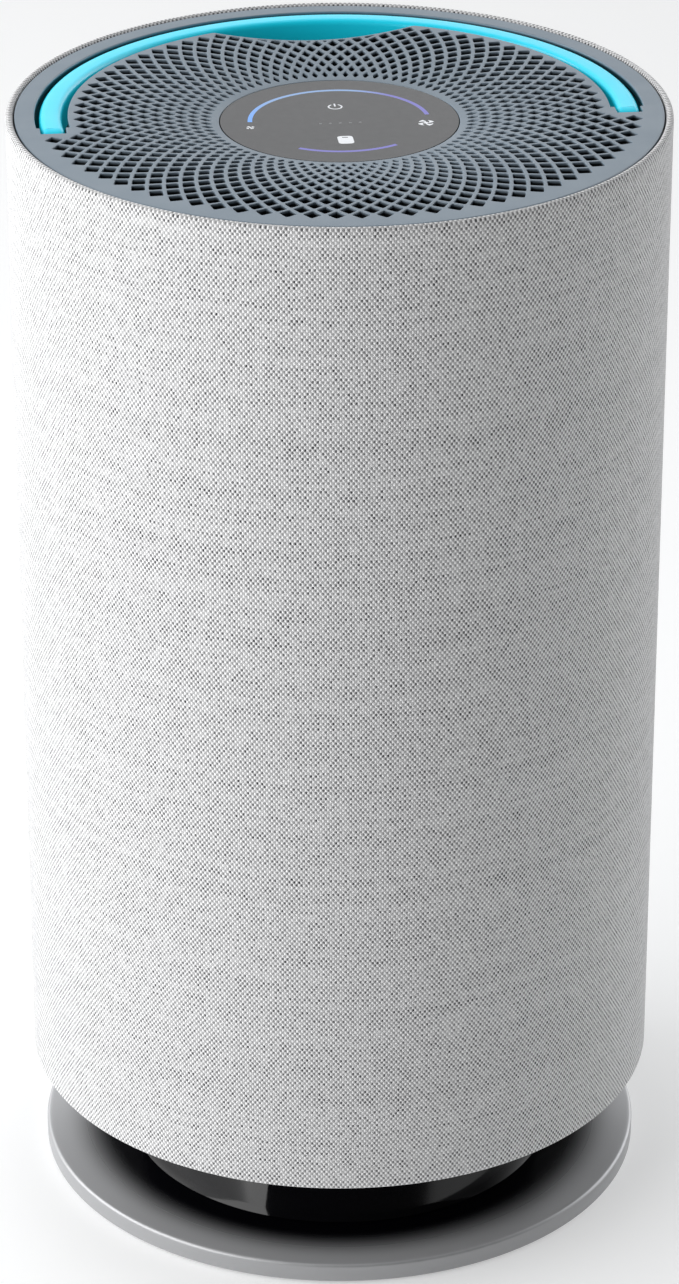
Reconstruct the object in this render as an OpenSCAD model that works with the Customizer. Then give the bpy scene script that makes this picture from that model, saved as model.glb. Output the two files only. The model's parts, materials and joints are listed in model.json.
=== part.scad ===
// Tower air purifier: a fabric-wrapped cylinder on a round pedestal, with a
// bail handle let into its top cover and a touch display in the middle.
// Millimetres, +Z up, origin on the floor under the centre, front towards -Y.

/* [Overall] */
// Outside diameter of the fabric sleeve
sleeve_d = 268; // [264:1:276]
// Height from the floor to the top of the sleeve's lip
total_h = 476; // [470:1:500]
// Height of the sleeve's lower edge above the floor
sleeve_z = 50; // [48:1:54]

/* [Base] */
// Diameter of the round foot plate
disc_d = 259; // [250:1:262]
// Height of the foot plate's rim
disc_t = 8; // [7:0.5:10]
// How far the rubber feet stand out below the foot plate
foot_h = 1.5; // [1:0.5:2]
// Diameter of the pedestal where it meets the foot plate
pedestal_d = 184; // [176:1:188]
// Turn that frees the body from the base, in degrees
twist_angle = 20; // [15:1:25]

/* [Top cover] */
// Gap between the cover's edge and the sleeve's lip
cover_gap = 0.6; // [0.4:0.1:1]
// Drop of the dished grille from the flat ring to the display
dish_drop = 4.7; // [3:0.1:6]
// Diamond openings around each row of the grille
grille_count = 40; // [32:2:48]
// Width of the grille's bars
bar_w = 3.2; // [2.5:0.1:4]
// Diameter of the display lens
lens_d = 96; // [90:1:100]

/* [Handle] */
// Width of the handle, seen from above
handle_w = 9.2; // [8:0.1:10]
// Depth of the handle's section
handle_h = 14; // [12:0.5:15]
// Radius of the handle's hinge pins
pin_r = 2; // [1.5:0.1:2.5]
// Length of the finger recess in front of the grip
recess_w = 85; // [75:1:90]

/* [Filter] */
// Outside diameter of the filter cartridge
filter_d = 208; // [200:1:212]
// Height of the filter cartridge without its seal
filter_h = 228; // [200:1:228]
// Number of pleats in the filter paper
pleats = 60; // [40:2:72]

/* [Fan] */
// Outside diameter of the impeller
impeller_d = 176; // [160:2:180]
// Number of impeller blades
blade_count = 9; // [7:1:11]
// Number of guide vanes above the impeller
vane_count = 11; // [9:1:13]

/* [Hidden] */
$fn = 96;

// Heights, from the floor up
disc_z = foot_h;
disc_top = disc_z + disc_t;
disc_floor = disc_top - 3.2;          // the dished top face, next to the pedestal
disc_under = disc_floor - 1.8;        // the foot plate's underside, inside its rim
door_z = sleeve_z;                    // underside of the twist-off filter door
door_top = door_z + 10;
filter_z = door_top + 6;
filter_top = filter_z + filter_h;
seal_t = 6;
fan_z = filter_top + seal_t;          // underside of the fan housing
cover_z = total_h - 0.5;              // flat top ring of the cover
cover_t = 2.6;
skirt_h = 14;                         // how far the cover's skirt reaches down
flange_z = cover_z - 39.5;            // flange at the top of the fan housing
frame_z = flange_z + 4;               // underside of the upper frame
lens_z = cover_z - dish_drop;         // top face of the display lens

// Radii, from the outside in
sleeve_r = sleeve_d / 2;
fabric_t = 1;
cage_r = sleeve_r - fabric_t;
cage_t = 1.6;
lip_r = sleeve_r - 3;                 // inside of the sleeve's lip
cover_r = lip_r - cover_gap;
ring_r = cage_r - cage_t - 0.4;       // parts that slide inside the cage
disc_r = disc_d / 2;
door_r = ring_r - 11.6;
lug_r = door_r + 5;
groove_r = lug_r + 0.6;
door_screw_r = pedestal_d / 2 - 19;   // screws that hold the filter door to the pedestal
filter_r = filter_d / 2;
filter_bore_r = 62;
lens_r = lens_d / 2;
impeller_r = impeller_d / 2;

// Handle, slot and finger recess
handle_r = sleeve_r - 18.1;           // middle of the handle's section
handle_in = handle_r - handle_w / 2;
handle_out = handle_r + handle_w / 2;
slot_in = handle_in - 2.3;
slot_out = handle_out + 1.8;
boss_r = 5.5;
hinge_y = -9.6;
hinge_z = cover_z - boss_r - 0.1;
hinge_x = sqrt(handle_r * handle_r - hinge_y * hinge_y);
slot_end_y = hinge_y - boss_r - 0.5;
boss_pocket_y = hinge_y + 1;          // the slot narrows round the hinge boss here
wall_t = 2.4;
trough_floor = cover_z - handle_h - 3;
recess_floor = cover_z - 33;
recess_depth = 21.2;                  // how far the recess reaches in from the slot
recess_r = (pow(recess_w / 2, 2) + pow(13, 2)) / (2 * 13);
recess_y = slot_in - recess_depth + recess_r;

// Grille
grille_in = 50.5;
row_pitch = 10;
first_row = grille_in + row_pitch / 2 + 1.6;
inner_rows = 5;                       // rows that pass behind the handle
all_rows = 7;                         // rows in front of the handle

// Fan
housing_r = 104;
eye_r = 54;
impeller_z = fan_z + 16;
hub_z = impeller_z + 38;
motor_z = hub_z + 3;
ledge_z = hub_z + 6;                  // ledge that carries the diffuser
shaft_r = 4;

// Control board, on the rear of the fan housing
board_y = 112;
board_z = fan_z + 30;
board_screw_x = 34;
board_screw_z = [board_z + 10, board_z + 74];

// Cage under the fabric
cage_z = sleeve_z + fabric_t;
cage_top = total_h - fabric_t;
window_rows = 6;
window_cols = 20;
window_w = 30;
cage_screw_z = [door_z + 8, frame_z + 8];
cage_screw_r = 1.4;
cage_head_r = 2.8;
cage_head_t = 0.9;

// Rear power inlet
inlet_z = sleeve_z + 36;
inlet_w = 24;
inlet_hgt = 17;
bezel_w = 50;
bezel_h = 36;

// Routes of the leads: from the inlet to the board, and on to the motor and the display
mains_path = [[0, 115, 86], [0, 112.4, 86.6], [0, 110.2, 89], [0, 109, 93], [0, 109.4, 99], [0, 111, 107],
              [0, 113, 118], [0, 114, 130], [0, 114, 160], [0, 114, 200], [0, 114, 240], [0, 114, 280],
              [0, 114, 300], [0, 113.4, 314], [0, 112.8, 322], [0, 112.8, 330]];
motor_path = [[0, 112.8, 414], [0, 112.6, 419], [0, 110.4, 425], [0, 105, 428.4], [0, 96, 428.4],
              [0, 84, 424], [0, 66, 413], [0, 50, 404], [0, 38, 399], [0, 29, 397], [0, 25, 393.6],
              [0, 24, 390], [0, 24, 386.6]];
display_path = [[12, 112.8, 414], [12, 112.6, 420], [12, 110.4, 426], [12, 105, 429.6], [12, 96, 430.8],
                [11, 82, 434], [9, 60, 440], [6, 40, 445], [3, 24, 449.4], [2, 17, 451],
                [2, 14.4, 452.6], [2, 14, 454.4], [2, 14, 455.7]];

black = [0.05, 0.05, 0.06];
slate = [0.45, 0.50, 0.55];
cyan = [0.25, 0.82, 0.92];
off_white = [0.90, 0.90, 0.88];
steel = [0.70, 0.71, 0.73];
board_green = [0.08, 0.32, 0.18];

// A ring between two radii and two heights
module ring(r_in, r_out, z0, z1) {
    translate([0, 0, z0])
        difference() {
            cylinder(r = r_out, h = z1 - z0);
            translate([0, 0, -1]) cylinder(r = r_in, h = z1 - z0 + 2);
        }
}

// A ring sector, centred on angle a and w degrees wide
module sector(r_in, r_out, z0, z1, a, w) {
    rotate(a - w / 2)
        rotate_extrude(angle = w)
            translate([r_in, z0]) square([r_out - r_in, z1 - z0]);
}

// Copies of the children at equal angles
module around(n, start = 0) {
    for (i = [0 : n - 1]) rotate(start + i * 360 / n) children();
}

// A countersunk screw that points down, with its head's top at the origin
module screw(r, length) {
    translate([0, 0, -length]) cylinder(r = r, h = length - 1.5);
    translate([0, 0, -2]) cylinder(r = 2 * r, h = 2);
}

// Corner points of a rounded rectangle, four arcs of five points
function rounded(w, h, r) = [
    for (c = [[1, 1, 0], [-1, 1, 90], [-1, -1, 180], [1, -1, 270]])
        for (a = [0 : 22.5 : 90])
            [c[0] * (w / 2 - r) + r * cos(a + c[2]), c[1] * (h / 2 - r) + r * sin(a + c[2])]
];

// One blade's outline in plan: an arc that sweeps by 'sweep' degrees from r0 to r1
function blade_side(r0, r1, sweep, t, side) = [
    for (i = [0 : 8])
        let (s = i / 8, r = r0 + s * (r1 - r0), a = sweep * pow(s, 1.3) + side * t / r * 28.6)
            [r * cos(a), r * sin(a)]
];
function blade(r0, r1, sweep, t) = concat(
    blade_side(r0, r1, sweep, t, -1),
    [for (p = [8 : -1 : 0]) blade_side(r0, r1, sweep, t, 1)[p]]
);

// A tube of eight sides swept along points, as one closed polyhedron
function unit(v) = v / norm(v);
function heading(path, i) = unit(path[min(i + 1, len(path) - 1)] - path[max(i - 1, 0)]);
function across(v) = unit(cross(v, abs(v[2]) > 0.9 ? [0, 1, 0] : [0, 0, 1]));
module tube(path, r) {
    last = len(path) - 1;
    points = [
        for (i = [0 : last])
            let (t = heading(path, i), u = across(t), w = cross(t, u))
                for (k = [0 : 7]) path[i] + r * (cos(k * 45) * u + sin(k * 45) * w)
    ];
    sides = [
        for (i = [0 : last - 1])
            for (k = [0 : 7])
                [i * 8 + k, i * 8 + (k + 1) % 8, (i + 1) * 8 + (k + 1) % 8, (i + 1) * 8 + k]
    ];
    caps = [[for (k = [7 : -1 : 0]) k], [for (k = [0 : 7]) last * 8 + k]];
    polyhedron(points = points, faces = concat(sides, caps));
}

// ---- Base -------------------------------------------------------------

foot_ring_r = disc_r - 17;

module foot_pads() {
    color([0.1, 0.1, 0.1])
        around(5, 90) translate([foot_ring_r, 0, 0]) cylinder(r = 9, h = foot_h + 0.8);
}

module base_underplate() {
    color(black)
        difference() {
            translate([0, 0, disc_z]) cylinder(r = disc_r - 2.6, h = disc_under - disc_z);
            around(5, 90) translate([foot_ring_r, 0, -1]) cylinder(r = 9, h = foot_h + 1.8);
            around(6) translate([pedestal_d / 2 - 14, 0, 0]) cylinder(r = 4.6, h = 10);
        }
}

// Height of the foot plate's dished top at radius r
function dish_z(r) = disc_floor + 3.2 * pow(max(0, r - pedestal_d / 2) / (disc_r - pedestal_d / 2), 1.6);

module base_disc() {
    inner = pedestal_d / 2;
    span = disc_r - 0.8 - inner;
    top = [for (i = [0 : 6]) let (r = inner + span * i / 6) [r, dish_z(r)]];
    color([0.55, 0.56, 0.58])
        difference() {
            rotate_extrude()
                polygon(concat(
                    [[0, disc_floor]], top,
                    [[disc_r, disc_top - 0.8], [disc_r, disc_z + 0.5], [disc_r - 0.5, disc_z],
                     [disc_r - 2.4, disc_z], [disc_r - 2.4, disc_under], [0, disc_under]]
                ));
            around(6) translate([inner - 14, 0, 0]) cylinder(r = 2.3, h = 20);
        }
}

// How far the pedestal draws in: straight up to half its height, then curving to upright
function waist(s) = s < 0.5 ? 14 * s : 7 + 3.5 * (1 - pow(2 - 2 * s, 2));

module pedestal() {
    r = pedestal_d / 2;
    z0 = disc_floor;
    z1 = door_z;
    steps = [0 : 10];
    outside = [for (i = steps) [r - waist(i / 10), z0 + (z1 - z0) * i / 10]];
    inside = [for (i = steps) let (s = 1 - i / 10) [r - waist(s) - wall_t, z0 + (z1 - z0) * s]];
    color([0.02, 0.02, 0.02]) {
        rotate_extrude() polygon(concat(outside, inside));
        difference() {
            ring(r - 24, r - 2, z0, z0 + 3);
            around(6) translate([r - 14, 0, 0]) cylinder(r = 1.8, h = 20);
        }
        difference() {
            ring(door_screw_r - 6, r - waist(1) - 1, z1 - 3, z1);
            around(6, 30) translate([door_screw_r, 0, 0]) cylinder(r = 1.8, h = 80);
        }
    }
}

module base_screws() {
    r = pedestal_d / 2;
    color(steel) {
        around(6) translate([r - 14, 0, disc_under]) mirror([0, 0, 1]) {
            translate([0, 0, 0.1]) cylinder(r = 4, h = 2);
            translate([0, 0, -5.8]) cylinder(r = 1.8, h = 6);
        }
        around(6, 30) translate([door_screw_r, 0, door_z - 3]) {
            translate([0, 0, -2.4]) cylinder(r = 4, h = 2.4);
            translate([0, 0, -0.1]) cylinder(r = 1.8, h = 7.3);
        }
    }
}

module filter_door() {
    color([0.08, 0.08, 0.09])
        difference() {
            union() {
                translate([0, 0, door_z]) cylinder(r = door_r, h = 3);
                ring(door_r - 3.4, door_r, door_z + 2.5, door_top);
                ring(door_screw_r - 5, door_screw_r + 5, door_z + 2.5, door_z + 6);
                // seat that holds the cartridge up against its seal
                ring(filter_r - 10, filter_r - 6, door_z + 2.5, filter_z - 0.4);
                around(4, 45) sector(door_r - 1, lug_r, door_z + 6, door_top, 0, 16);
            }
            around(6, 30) translate([door_screw_r, 0, door_z - 1]) cylinder(r = 1.8, h = 5.5);
        }
}

// ---- Lower body -------------------------------------------------------

module bottom_ring() {
    lip = door_z + 5.6;
    groove_top = door_top + 0.4;
    travel = twist_angle + 17;
    color([0.07, 0.07, 0.08])
        difference() {
            union() {
                ring(door_r + 0.6, ring_r, door_z + 0.6, groove_top);
                ring(door_r - 6, ring_r, groove_top, groove_top + 3.6);
            }
            around(4, 45) {
                // the lug's groove, from its stop to the end of the turn
                sector(door_r, groove_r, lip, groove_top, 8.5 - travel / 2, travel);
                // the way in for the lug, at the unlocked end
                sector(door_r, groove_r, door_z, lip + 1, -twist_angle, 17);
            }
            cage_screw_bores(cage_screw_z[0]);
        }
}

// Blind holes that the cage's screws go into
module cage_screw_bores(z) {
    around(8, 22.5)
        translate([ring_r - 5.3, 0, z]) rotate([0, 90, 0]) cylinder(r = cage_screw_r + 0.05, h = 12);
}

module cage_screws() {
    color(steel)
        for (z = cage_screw_z)
            around(8, 22.5) translate([cage_r - 0.1, 0, z]) rotate([0, 90, 0]) {
                translate([0, 0, -cage_head_t]) cylinder(r = cage_head_r, h = cage_head_t);
                translate([0, 0, -7]) cylinder(r = cage_screw_r, h = 7 - cage_head_t + 0.1);
            }
}

module outer_cage() {
    first = cage_z + 60;
    pitch = (flange_z - 8 - first) / window_rows;
    color([0.82, 0.82, 0.80])
        difference() {
            rotate_extrude()
                polygon([[cage_r, cage_z], [cage_r, cage_top - 1.4], [cage_r - 0.5, cage_top],
                         [cage_r - 1, cage_top - 0.4], [cage_r - 1, cage_top - 8],
                         [cage_r - cage_t, cage_top - 9], [cage_r - cage_t, cage_z]]);
            for (row = [0 : window_rows - 1])
                around(window_cols / 2, 9)
                    translate([-cage_r - 2, -window_w / 2, first + row * pitch])
                        cube([2 * cage_r + 4, window_w, pitch - 9]);
            for (z = cage_screw_z)
                around(8, 22.5) translate([cage_r - 0.15 - cage_head_t, 0, z]) rotate([0, 90, 0]) {
                    translate([0, 0, -3]) cylinder(r = cage_screw_r + 0.2, h = 10);
                    cylinder(r = cage_head_r + 0.2, h = 10);
                }
            translate([-bezel_w / 2 - 0.15, 0, inlet_z - bezel_h / 2 - 0.15])
                cube([bezel_w + 0.3, sleeve_r + 5, bezel_h + 0.3]);
        }
}

module fabric_sleeve() {
    lip = [for (a = [0 : 22.5 : 180]) [sleeve_r - 1.5 + 1.5 * cos(a), total_h - 1.5 + 1.5 * sin(a)]];
    fold = [for (a = [180 : -30 : 0]) [cage_r - 0.5 + 0.52 * cos(a), cage_top - 0.5 + 0.54 * sin(a)]];
    color(off_white)
        difference() {
            rotate_extrude()
                polygon(concat(
                    [[sleeve_r, sleeve_z]], lip, [[lip_r, cage_top - 8], [lip_r + 0.95, cage_top - 8]],
                    fold, [[cage_r + 0.02, sleeve_z + 0.95], [cage_r - cage_t, sleeve_z + 0.95],
                           [cage_r - cage_t, sleeve_z]]
                ));
            translate([-bezel_w / 2 - 0.15, 0, inlet_z - bezel_h / 2 - 0.15])
                cube([bezel_w + 0.3, sleeve_r + 5, bezel_h + 0.3]);
        }
}

// ---- Power inlet at the rear ------------------------------------------

module inlet_block(w, h, r, y0, y1) {
    translate([0, y1, inlet_z]) rotate([90, 0, 0]) linear_extrude(y1 - y0) polygon(rounded(w, h, r));
}

module inlet_bezel() {
    inner = cage_r - cage_t;
    color([0.1, 0.1, 0.11])
        difference() {
            union() {
                // face, flush with the fabric
                intersection() {
                    inlet_block(bezel_w, bezel_h, 5, cage_r - 8, sleeve_r + 2);
                    ring(inner - 2.4, sleeve_r, inlet_z - bezel_h, inlet_z + bezel_h);
                }
                // flange behind the cage's wall
                intersection() {
                    inlet_block(bezel_w + 6, bezel_h + 6, 5, cage_r - 10, sleeve_r + 2);
                    ring(inner - 2.4, inner - 0.1, inlet_z - bezel_h, inlet_z + bezel_h);
                }
            }
            inlet_block(inlet_w, inlet_hgt, 4, 0, sleeve_r + 5);
        }
}

socket_back = cage_r - 18;

module power_inlet() {
    color([0.04, 0.04, 0.04])
        difference() {
            inlet_block(inlet_w - 0.02, inlet_hgt - 0.02, 4, socket_back, cage_r - 1.2);
            // figure-of-eight socket
            for (x = [-4.3, 4.3])
                translate([x, cage_r + 1, inlet_z]) rotate([90, 0, 0]) cylinder(r = 4.1, h = 16);
            translate([-4.3, cage_r - 15, inlet_z - 3]) cube([8.6, 20, 6]);
        }
}

module inlet_contacts() {
    color(steel)
        for (x = [-4.3, 4.3]) {
            translate([x, cage_r - 4, inlet_z]) rotate([90, 0, 0]) cylinder(r = 1.2, h = 11);
            translate([x - 1.5, socket_back - 4, inlet_z - 0.5]) cube([3, 4, 1]);
        }
}

// ---- Filter cartridge -------------------------------------------------

cap_t = 8;
media_out = filter_r - 2;
media_in = filter_bore_r + 5;

module filter_bottom_cap() {
    color([0.16, 0.17, 0.18]) {
        translate([0, 0, filter_z]) cylinder(r = filter_r, h = 3);
        ring(filter_r - 1.6, filter_r, filter_z + 2.5, filter_z + cap_t);
        ring(filter_bore_r - 1.6, filter_bore_r, filter_z + 2.5, filter_z + cap_t);
    }
}

// Zigzag outline of the pleated paper
function zigzag(r_out, r_in) = [
    for (i = [0 : 2 * pleats - 1])
        let (r = i % 2 == 0 ? r_out : r_in, a = i * 180 / pleats) [r * cos(a), r * sin(a)]
];

module filter_media() {
    color([0.93, 0.93, 0.90])
        translate([0, 0, filter_z + 3.2])
            linear_extrude(filter_h - 6.4)
                difference() {
                    polygon(zigzag(media_out, media_in + 2.2));
                    polygon(zigzag(media_out - 2.2, media_in));
                }
}

module carbon_core() {
    color([0.12, 0.12, 0.12]) ring(filter_bore_r + 0.2, media_in - 0.6, filter_z + 3.2, filter_top - 3.2);
}

module filter_top_cap() {
    color([0.16, 0.17, 0.18]) {
        ring(filter_bore_r - 1.6, filter_r, filter_top - 3, filter_top);
        ring(filter_r - 1.6, filter_r, filter_top - cap_t, filter_top - 2.5);
        ring(filter_bore_r - 1.6, filter_bore_r, filter_top - cap_t, filter_top - 2.5);
    }
}

module filter_seal() {
    color([0.22, 0.22, 0.22]) ring(filter_bore_r + 8, filter_r - 8, filter_top, fan_z);
}

module filter_pull_tab() {
    color(cyan) {
        translate([-9, -30, filter_z - 1]) cube([18, 60, 1]);
        translate([-9, -30, filter_z - 4]) cube([18, 1.2, 3.4]);
        translate([-9, 28.8, filter_z - 4]) cube([18, 1.2, 3.4]);
        translate([-9, -29, filter_z - 4.6]) cube([18, 58, 1]);
    }
}

// ---- Fan --------------------------------------------------------------

module fan_housing() {
    z0 = fan_z;
    outer = [[110, z0], [110, z0 + 3], [housing_r - 6, z0 + 5], [housing_r - 1, z0 + 30],
             [housing_r + 1.4, ledge_z - 2], [housing_r + 1.4, z0 + 92], [housing_r + 3, flange_z],
             [ring_r - 0.1, flange_z], [ring_r - 0.1, frame_z]];
    inner = [[housing_r, frame_z], [housing_r - 0.6, ledge_z], [housing_r - 4.4, ledge_z],
             [housing_r - 3.6, z0 + 30], [housing_r - 8.6, z0 + 7.6], [housing_r - 12, z0 + 3],
             [eye_r + 8, z0 + 3], [eye_r + 8, z0]];
    color([0.13, 0.14, 0.15])
        difference() {
            union() {
                rotate_extrude() polygon(concat(outer, inner));
                // stand-offs for the control board
                for (x = [-board_screw_x, board_screw_x])
                    for (z = board_screw_z)
                        translate([x - 7, housing_r - 8, z - 4]) cube([14, board_y - housing_r + 8, 8]);
            }
            rotate_extrude()
                polygon(concat([[0, z0 + 3]], [for (p = [7 : -1 : 0]) inner[p]], [[0, frame_z]]));
            // window for the leads
            translate([-4, housing_r - 20, flange_z - 12]) cube([20, 40, 9]);
            around(6) translate([ring_r - 5, 0, flange_z - 1]) cylinder(r = 1.8, h = 8);
            for (x = [-board_screw_x, board_screw_x])
                for (z = board_screw_z)
                    translate([x, board_y + 1, z]) rotate([90, 0, 0]) cylinder(r = 1.2, h = 7);
        }
}

module inlet_cone() {
    z0 = fan_z;
    curve = [for (i = [0 : 5]) let (a = i * 18) [eye_r + 8 - 8 * sin(a), z0 + 14 * (1 - cos(a)) + 3]];
    back = [for (i = [5 : -1 : 0]) let (a = i * 18) [eye_r + 10 - 8 * sin(a), z0 + 14 * (1 - cos(a)) + 5]];
    color([0.13, 0.14, 0.15]) {
        rotate_extrude() polygon(concat(curve, back));
        ring(eye_r + 7.5, eye_r + 18, z0 + 3, z0 + 5);
    }
}

module impeller() {
    z0 = impeller_z;
    passage = [[26, z0 + 4.2], [eye_r + 6, z0 + 4.2], [impeller_r - 1, z0 + 21.2],
               [impeller_r - 1, hub_z + 0.8], [26, hub_z + 0.8]];
    color([0.86, 0.87, 0.88]) {
        // hub plate with its boss
        ring(shaft_r, impeller_r, hub_z, hub_z + 2.4);
        ring(shaft_r, 9, hub_z - 14, hub_z + 0.5);
        // shroud over the blades
        rotate_extrude()
            polygon([[eye_r + 2.4, z0], [eye_r + 4.4, z0], [impeller_r, z0 + 20], [impeller_r, z0 + 22],
                     [eye_r + 2.4, z0 + 2]]);
        intersection() {
            around(blade_count)
                translate([0, 0, z0])
                    linear_extrude(hub_z - z0 + 1) polygon(blade(28, impeller_r, -38, 1.8));
            rotate_extrude() polygon(passage);
        }
    }
}

module rotor_cup() {
    color(steel) {
        ring(shaft_r, 30, motor_z - 0.6, motor_z + 1.6);
        ring(28, 30, motor_z + 1.2, motor_z + 26);
    }
}

module motor_shaft() {
    color([0.78, 0.78, 0.80]) translate([0, 0, hub_z - 14]) cylinder(r = shaft_r, h = 45);
}

bearing_r = 8;
bearing_t = 5;

module motor_stator() {
    z0 = motor_z + 4;
    color([0.72, 0.42, 0.18]) {
        difference() {
            union() {
                translate([0, 0, z0]) cylinder(r = 13, h = 22);
                around(9) translate([12, -2.2, z0 + 2]) cube([13, 4.4, 17]);
                around(9) sector(24, 27, z0 + 2, z0 + 19, 0, 30);
            }
            translate([0, 0, z0 - 1]) cylinder(r = bearing_r, h = 40);
        }
    }
}

module shaft_bearings() {
    color([0.80, 0.80, 0.82])
        for (z = [motor_z + 4, motor_z + 21])
            ring(shaft_r + 0.05, bearing_r, z, z + bearing_t);
}

module motor_base() {
    z0 = motor_z + 26.6;
    color([0.30, 0.31, 0.33]) {
        difference() {
            ring(shaft_r + 2, 34, z0, z0 + 3);
            around(3) translate([30, 0, z0 - 1]) cylinder(r = 1.8, h = 6);
        }
        ring(shaft_r + 2, 12, z0 - 0.6, z0 + 0.2);
    }
}

module motor_screws() {
    color(steel) around(3) translate([30, 0, motor_z + 34.1]) screw(1.8, 7.4);
}

vane_in = 37;
vane_out = housing_r - 4;

module diffuser() {
    z0 = motor_z + 0.6;
    top = motor_z + 29.7;
    color([0.10, 0.10, 0.11])
        difference() {
            union() {
                ring(34.6, vane_in, z0, top + 2.4);
                translate([0, 0, top]) cylinder(r = 36, h = 2.4);
                ring(vane_out, vane_out + 2.8, ledge_z, top + 2.4);
                around(vane_count)
                    translate([0, 0, ledge_z + 1])
                        linear_extrude(24) polygon(blade(vane_in - 1, vane_out + 1, 26, 2));
            }
            around(3) translate([30, 0, top - 1]) cylinder(r = 1.8, h = 6);
            translate([0, 24, top - 1]) cylinder(r = 2, h = 6);
        }
}

// ---- Electronics beside the fan ---------------------------------------

module control_board() {
    color(board_green)
        difference() {
            translate([-38, board_y, board_z]) cube([76, 1.6, 84]);
            for (x = [-board_screw_x, board_screw_x])
                for (z = board_screw_z)
                    translate([x, board_y + 3, z]) rotate([90, 0, 0]) cylinder(r = 1.2, h = 6);
        }
    color([0.15, 0.15, 0.16]) {
        translate([-25, board_y - 5.8, board_z + 10]) cube([18, 6, 22]);
        translate([6, board_y + 1.4, board_z + 8]) cube([24, 5, 26]);
        translate([-8, board_y + 1.4, board_z + 48]) cube([14, 4, 10]);
        translate([16, board_y + 1.4, board_z + 56]) cube([12, 5, 6]);
    }
}

module board_screws() {
    color(steel)
        for (x = [-board_screw_x, board_screw_x])
            for (z = board_screw_z)
                translate([x, board_y + 3.6, z]) rotate([90, 0, 0]) {
                    cylinder(r = 2.4, h = 2);
                    translate([0, 0, 1.5]) cylinder(r = 1.2, h = 6);
                }
}

module board_cover() {
    color([0.16, 0.16, 0.17])
        difference() {
            translate([-41, board_y, board_z - 3]) cube([82, 9, 90]);
            translate([-39, board_y - 1, board_z - 1]) cube([78, 8.4, 86]);
            // ways in for the leads
            translate([-6, board_y - 1, board_z - 5]) cube([12, 7, 6]);
            translate([-4, board_y - 1, board_z + 84]) cube([20, 5, 6]);
            for (x = [-24 : 12 : 24])
                translate([x - 2, board_y + 5, board_z + 20]) cube([4, 10, 44]);
        }
}

module mains_lead() {
    color([0.08, 0.08, 0.08]) tube(mains_path, 2.6);
}

module motor_lead() {
    color([0.5, 0.1, 0.1]) tube(motor_path, 1.6);
}

module display_lead() {
    color([0.85, 0.85, 0.85]) tube(display_path, 1.2);
}

// ---- Top of the body --------------------------------------------------

// Plan of the handle's slot: a wide arc, with a close pocket for each hinge boss
module slot_plan(grow = 0) {
    intersection() {
        difference() {
            circle(r = slot_out + grow);
            circle(r = slot_in - grow);
        }
        translate([-sleeve_r, boss_pocket_y - grow]) square([2 * sleeve_r, 2 * sleeve_r]);
    }
    for (s = [-1, 1])
        translate([s * hinge_x, slot_end_y - grow])
            translate([-handle_w / 2 - 0.8 - grow, 0]) square([handle_w + 1.6 + 2 * grow, 12]);
}

// Plan of the finger recess: the part of a circle that bites into the grille
module recess_plan(grow = 0) {
    intersection() {
        translate([0, recess_y]) circle(r = recess_r + grow);
        circle(r = slot_in + 2);
        translate([-sleeve_r, 0]) square([2 * sleeve_r, 2 * sleeve_r]);
    }
}

// Plan of the finger cup: the recess and the stretch of the slot beside it
module cup_plan(grow = 0) {
    intersection() {
        union() {
            recess_plan(grow);
            slot_plan(grow);
        }
        translate([-recess_w / 2 - grow, 0]) square([recess_w + 2 * grow, sleeve_r]);
    }
}

tray_top = cover_z - cover_t - 0.8;

module finger_cup() {
    color(black)
        difference() {
            translate([0, 0, recess_floor - wall_t])
                linear_extrude(tray_top - recess_floor + wall_t) cup_plan(wall_t);
            translate([0, 0, recess_floor]) linear_extrude(60) cup_plan();
            translate([0, 0, trough_floor]) linear_extrude(60) slot_plan();
        }
}

module upper_frame() {
    color(black)
        difference() {
            union() {
                // outer ring that the cage hangs from
                ring(ring_r - 4, ring_r, frame_z, cover_z - skirt_h - 0.6);
                // web between the trough and the outer ring
                ring(slot_out, ring_r - 1, trough_floor - 2.6, trough_floor);
                // trough for the handle
                translate([0, 0, trough_floor - 2.6])
                    linear_extrude(tray_top - trough_floor + 2.6) slot_plan(wall_t);
                // bosses for the screws from the fan housing
                around(6) translate([ring_r - 5, 0, frame_z]) cylinder(r = 4, h = 10);
                // seat for the display, with its ring and ribs under the grille
                ring(lens_r - 6, lens_r + 3, lens_z - 17.6, lens_z - 15);
                ring(lens_r + 0.6, lens_r + 3, lens_z - 17.6, lens_z - cover_t - 0.4);
                around(12, 15)
                    translate([lens_r + 2, -1, lens_z - 14]) cube([slot_in - lens_r - 3.4, 2, 8]);
                for (a = [225 : 30 : 315])
                    rotate(a)
                        translate([slot_in - 2, -1, lens_z - 14]) cube([ring_r - slot_in - 1.5, 2, 8]);
            }
            translate([0, 0, trough_floor]) linear_extrude(60) slot_plan();
            // place of the finger cup
            translate([0, 0, frame_z - 1]) linear_extrude(60) cup_plan(wall_t + 0.1);
            for (s = [-1, 1])
                translate([s * hinge_x, hinge_y, hinge_z]) rotate([0, 90, 0])
                    cylinder(r = pin_r, h = 24, center = true);
            around(6) translate([ring_r - 5, 0, frame_z - 1]) cylinder(r = 1.8, h = 9);
            cage_screw_bores(cage_screw_z[1]);
        }
}

module frame_screws() {
    color(steel) around(6) translate([ring_r - 5, 0, flange_z - 2]) mirror([0, 0, 1]) screw(1.8, 9);
}

// Height of the cover's top at radius r
function cover_top(r) = cover_z - dish_drop * pow(max(0, slot_in - 2 - r) / (slot_in - 2 - lens_r), 2);

// Diamond opening of one grille row
function diamond(r) =
    let (a = PI * r / grille_count, b = row_pitch, s = 1 - (bar_w / 2) * norm([a, b]) / (a * b))
        [[s * a, 0], [0, s * b], [-s * a, 0], [0, -s * b]];

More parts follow.
